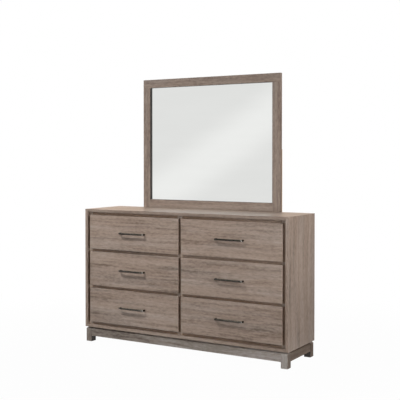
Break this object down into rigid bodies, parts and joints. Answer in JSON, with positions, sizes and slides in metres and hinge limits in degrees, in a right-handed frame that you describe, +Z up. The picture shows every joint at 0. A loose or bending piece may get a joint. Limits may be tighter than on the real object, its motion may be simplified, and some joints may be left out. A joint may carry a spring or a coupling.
{
  "type": "dresser with mirror",
  "caption": "Low dresser with two columns of drawers on a framed leg base, dark bar pulls and a framed rectangular mirror standing on the back edge of its top.",
  "frame": {"origin": "on the floor, under the middle of the whole object's box", "axes": "+Z up, +X to the right as seen from the front, +Y from the drawers to the back"},
  "size_m": [1.5, 0.4406, 1.776],
  "materials": {
    "case_oak_laminate": "grey-brown oak-grain laminate, satin",
    "front_oak_laminate": "grey-brown oak-grain laminate with the grain level, satin",
    "frame_oak_laminate": "grey-brown oak-grain laminate, satin",
    "mirror_frame_oak": "grey-brown oak-grain laminate, satin",
    "base_oak": "weathered grey oak, matt",
    "raw_hardwood": "planed hardwood, no finish",
    "drawer_box_wood": "planed and sealed hardwood",
    "drawer_bottom_ply": "sealed plywood",
    "hardboard": "pressed hardboard",
    "pull_metal": "dark gunmetal lacquer, satin",
    "track_steel": "zinc-plated sheet steel",
    "screw_steel": "zinc-plated steel",
    "guide_nylon": "natural nylon, moulded",
    "silvered_glass": "polished silvered glass"
  },
  "bodies": {
    "case": {"top_panel": "case_oak_laminate", "bottom_panel": "case_oak_laminate", "left_side_panel": "case_oak_laminate", "right_side_panel": "case_oak_laminate", "back_board": "hardboard", "centre_partition": "frame_oak_laminate", "left_stile": "frame_oak_laminate", "right_stile": "frame_oak_laminate", "front_rails": "frame_oak_laminate", "rear_rails": "raw_hardwood", "drawer_tracks": "track_steel", "rail_glides": "guide_nylon", "front_left_leg": "base_oak", "front_right_leg": "base_oak", "rear_left_leg": "base_oak", "rear_right_leg": "base_oak", "front_apron": "base_oak", "rear_apron": "base_oak", "left_apron": "base_oak", "right_apron": "base_oak", "corner_blocks": "raw_hardwood", "mirror_top_rail": "mirror_frame_oak", "mirror_bottom_rail": "mirror_frame_oak", "mirror_left_stile": "mirror_frame_oak", "mirror_right_stile": "mirror_frame_oak", "mirror_glass": "silvered_glass", "mirror_backing": "hardboard", "mirror_supports": "raw_hardwood", "support_screws": "screw_steel"},
    "drawer_lower_left": {"drawer_front_lower_left": "front_oak_laminate", "drawer_box_lower_left": "drawer_box_wood", "drawer_bottom_lower_left": "drawer_bottom_ply", "drawer_pull_lower_left": "pull_metal", "guide_shoe_lower_left": "guide_nylon"},
    "drawer_lower_right": {"drawer_front_lower_right": "front_oak_laminate", "drawer_box_lower_right": "drawer_box_wood", "drawer_bottom_lower_right": "drawer_bottom_ply", "drawer_pull_lower_right": "pull_metal", "guide_shoe_lower_right": "guide_nylon"},
    "drawer_middle_left": {"drawer_front_middle_left": "front_oak_laminate", "drawer_box_middle_left": "drawer_box_wood", "drawer_bottom_middle_left": "drawer_bottom_ply", "drawer_pull_middle_left": "pull_metal", "guide_shoe_middle_left": "guide_nylon"},
    "drawer_middle_right": {"drawer_front_middle_right": "front_oak_laminate", "drawer_box_middle_right": "drawer_box_wood", "drawer_bottom_middle_right": "drawer_bottom_ply", "drawer_pull_middle_right": "pull_metal", "guide_shoe_middle_right": "guide_nylon"},
    "drawer_upper_left": {"drawer_front_upper_left": "front_oak_laminate", "drawer_box_upper_left": "drawer_box_wood", "drawer_bottom_upper_left": "drawer_bottom_ply", "drawer_pull_upper_left": "pull_metal", "guide_shoe_upper_left": "guide_nylon"},
    "drawer_upper_right": {"drawer_front_upper_right": "front_oak_laminate", "drawer_box_upper_right": "drawer_box_wood", "drawer_bottom_upper_right": "drawer_bottom_ply", "drawer_pull_upper_right": "pull_metal", "guide_shoe_upper_right": "guide_nylon"}
  },
  "joints": [
    {"name": "drawer_lower_left_slide", "type": "slide", "parent": "case", "child": "drawer_lower_left", "axis": [0, -1, 0], "range_m": [0, 0.26]},
    {"name": "drawer_lower_right_slide", "type": "slide", "parent": "case", "child": "drawer_lower_right", "axis": [0, -1, 0], "range_m": [0, 0.26]},
    {"name": "drawer_middle_left_slide", "type": "slide", "parent": "case", "child": "drawer_middle_left", "axis": [0, -1, 0], "range_m": [0, 0.26]},
    {"name": "drawer_middle_right_slide", "type": "slide", "parent": "case", "child": "drawer_middle_right", "axis": [0, -1, 0], "range_m": [0, 0.26]},
    {"name": "drawer_upper_left_slide", "type": "slide", "parent": "case", "child": "drawer_upper_left", "axis": [0, -1, 0], "range_m": [0, 0.26]},
    {"name": "drawer_upper_right_slide", "type": "slide", "parent": "case", "child": "drawer_upper_right", "axis": [0, -1, 0], "range_m": [0, 0.26]}
  ]
}
